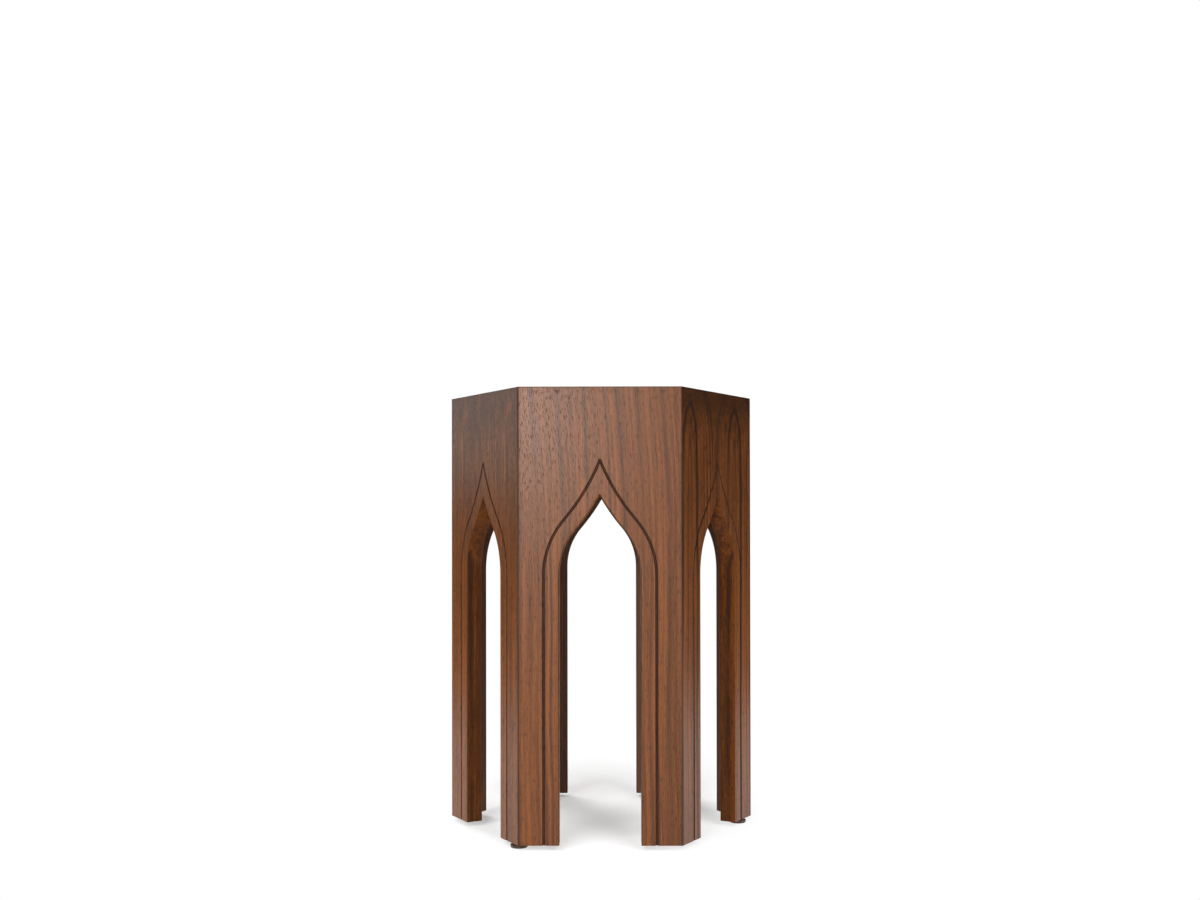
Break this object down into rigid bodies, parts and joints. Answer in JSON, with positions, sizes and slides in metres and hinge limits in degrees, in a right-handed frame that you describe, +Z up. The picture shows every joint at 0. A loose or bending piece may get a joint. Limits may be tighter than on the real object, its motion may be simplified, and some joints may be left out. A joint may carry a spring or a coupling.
{
  "type": "tabouret",
  "caption": "Hexagonal wooden side table with a flush top and pointed ogee arches cut in its mitred sides, on screw-adjusted glides.",
  "frame": {"origin": "on the floor under the centre of the hexagon, level with the bottoms of the glides screwed home", "axes": "+Z up; the front face looks along -Y, as in the picture; two corners of the hexagon lie on the X axis"},
  "size_m": [0.3556, 0.308, 0.5016],
  "materials": {
    "walnut_veneer": "satin lacquer over slip-matched walnut veneer, grain upright",
    "walnut_lipping": "satin lacquer over solid walnut",
    "birch_spline": "raw plywood",
    "stained_cleat": "dark stain, sealed",
    "plated_steel": "zinc plated",
    "brass_insert": "turned brass",
    "brown_nylon": "moulded brown nylon"
  },
  "bodies": {
    "table": {"top_panel": "walnut_veneer", "side_panel_front": "walnut_veneer", "side_panel_front_right": "walnut_veneer", "side_panel_back_right": "walnut_veneer", "side_panel_back": "walnut_veneer", "side_panel_back_left": "walnut_veneer", "side_panel_front_left": "walnut_veneer", "left_lipping_front": "walnut_lipping", "right_lipping_front": "walnut_lipping", "left_lipping_front_right": "walnut_lipping", "right_lipping_front_right": "walnut_lipping", "left_lipping_back_right": "walnut_lipping", "right_lipping_back_right": "walnut_lipping", "left_lipping_back": "walnut_lipping", "right_lipping_back": "walnut_lipping", "left_lipping_back_left": "walnut_lipping", "right_lipping_back_left": "walnut_lipping", "left_lipping_front_left": "walnut_lipping", "right_lipping_front_left": "walnut_lipping", "corner_spline_right_front": "birch_spline", "corner_spline_right": "birch_spline", "corner_spline_right_back": "birch_spline", "corner_spline_left_back": "birch_spline", "corner_spline_left": "birch_spline", "corner_spline_left_front": "birch_spline", "top_cleat_front": "stained_cleat", "top_cleat_front_right": "stained_cleat", "top_cleat_back_right": "stained_cleat", "top_cleat_back": "stained_cleat", "top_cleat_back_left": "stained_cleat", "top_cleat_front_left": "stained_cleat", "cleat_side_screws": "plated_steel", "cleat_top_screws": "plated_steel", "threaded_insert_right": "brass_insert", "threaded_insert_left_back": "brass_insert", "threaded_insert_left_front": "brass_insert"},
    "glide_pad_right": {"glide_pad_right": "brown_nylon"},
    "glide_stem_right": {"glide_stem_right": "plated_steel"},
    "glide_pad_left_back": {"glide_pad_left_back": "brown_nylon"},
    "glide_stem_left_back": {"glide_stem_left_back": "plated_steel"},
    "glide_pad_left_front": {"glide_pad_left_front": "brown_nylon"},
    "glide_stem_left_front": {"glide_stem_left_front": "plated_steel"}
  },
  "joints": [
    {"name": "glide_travel_right", "type": "slide", "parent": "table", "child": "glide_pad_right", "axis": [0, 0, -1], "range_m": [0, 0.012]},
    {"name": "glide_turn_right", "type": "hinge", "parent": "glide_pad_right", "child": "glide_stem_right", "pos_m": [0.16125, -0.00961, 0], "axis": [0, 0, -1], "range_deg": [0, 4320]},
    {"name": "glide_travel_left_back", "type": "slide", "parent": "table", "child": "glide_pad_left_back", "axis": [0, 0, -1], "range_m": [0, 0.012]},
    {"name": "glide_turn_left_back", "type": "hinge", "parent": "glide_pad_left_back", "child": "glide_stem_left_back", "pos_m": [-0.0723, 0.14445, 0], "axis": [0, 0, -1], "range_deg": [0, 4320]},
    {"name": "glide_travel_left_front", "type": "slide", "parent": "table", "child": "glide_pad_left_front", "axis": [0, 0, -1], "range_m": [0, 0.012]},
    {"name": "glide_turn_left_front", "type": "hinge", "parent": "glide_pad_left_front", "child": "glide_stem_left_front", "pos_m": [-0.08895, -0.13484, 0], "axis": [0, 0, -1], "range_deg": [0, 4320]}
  ],
  "couplings": [
    {"joint": "glide_turn_right", "follows": "glide_travel_right", "rad_per_m": 6283.2},
    {"joint": "glide_turn_left_back", "follows": "glide_travel_left_back", "rad_per_m": 6283.2},
    {"joint": "glide_turn_left_front", "follows": "glide_travel_left_front", "rad_per_m": 6283.2}
  ]
}
